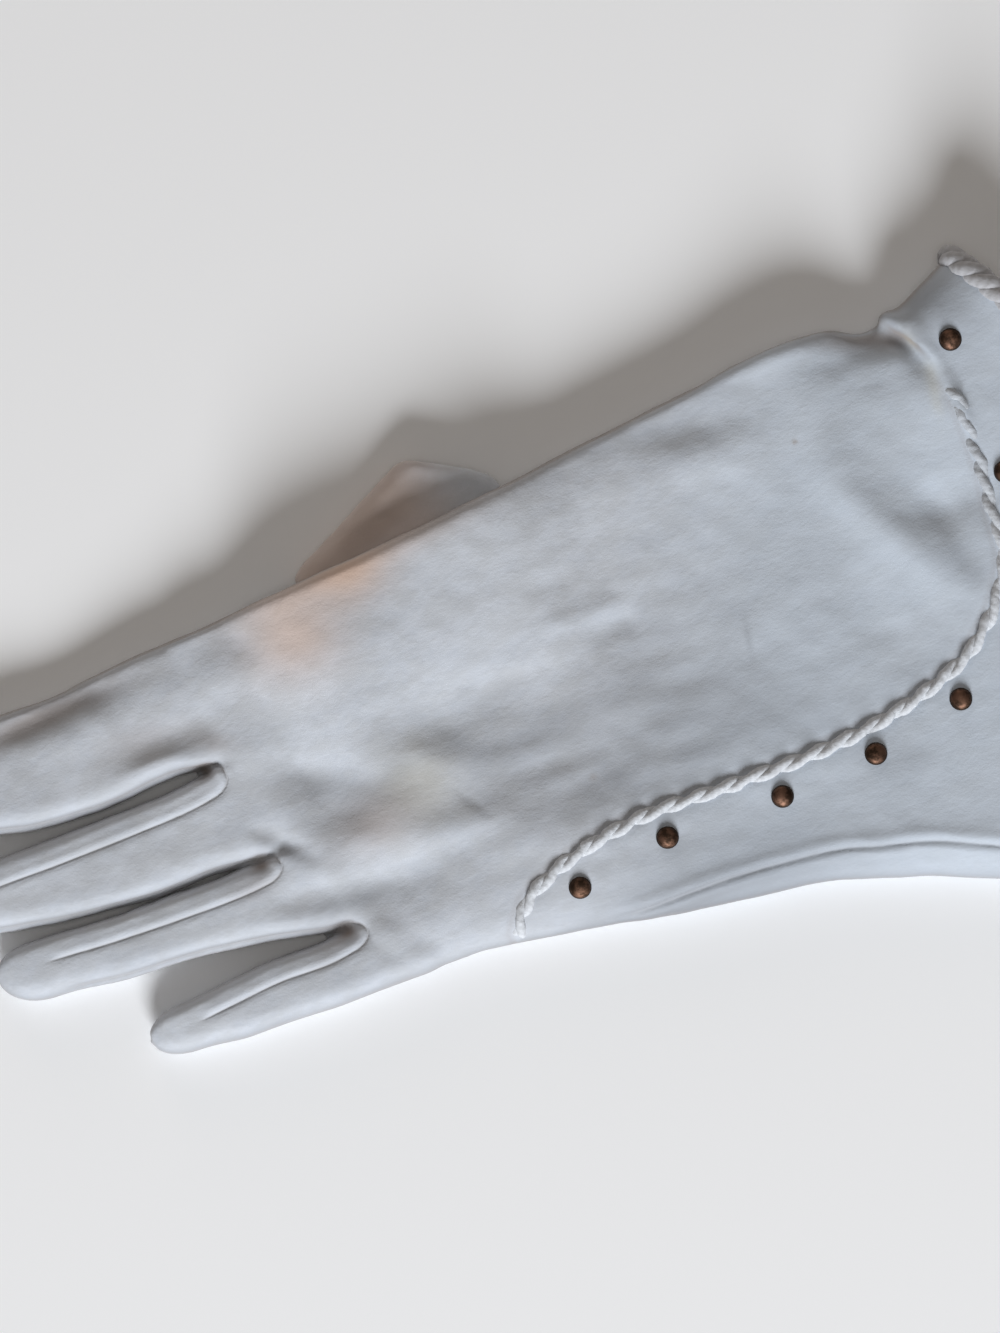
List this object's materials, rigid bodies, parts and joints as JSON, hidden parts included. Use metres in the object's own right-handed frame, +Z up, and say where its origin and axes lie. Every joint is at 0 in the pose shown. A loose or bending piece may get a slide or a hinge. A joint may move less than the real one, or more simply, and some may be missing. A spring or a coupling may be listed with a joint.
{
  "type": "studded glove",
  "caption": "Left-hand cotton dress glove with a flared cuff, a corded seam and domed studs, lying back side up with its thumb folded under the palm.",
  "frame": {"origin": "under the middle of the glove's box, on the surface that it lies on", "axes": "+X across the hand towards the thumb's side, +Y from the hem towards the fingertips, +Z up through the back of the hand"},
  "size_m": [0.1532, 0.2838, 0.0216],
  "materials": {
    "cotton": "matte brushed cotton, off-white, lightly stained",
    "cord": "twisted and overcast cotton cord, off-white",
    "antique_brass": "dark antique brass, polished on the domes"
  },
  "bodies": {
    "root": {"back_panel": "cotton", "palm_panel": "cotton", "cuff_panel": "cotton", "fourchette_index_middle": "cotton", "fourchette_middle_ring": "cotton", "fourchette_ring_little": "cotton", "thumb": "cotton", "seam_cord": "cord", "hem_cord": "cord", "stud_1": "antique_brass", "stud_2": "antique_brass", "stud_3": "antique_brass", "stud_4": "antique_brass", "stud_5": "antique_brass", "stud_6": "antique_brass", "stud_7": "antique_brass", "stud_8": "antique_brass"}
  },
  "joints": []
}
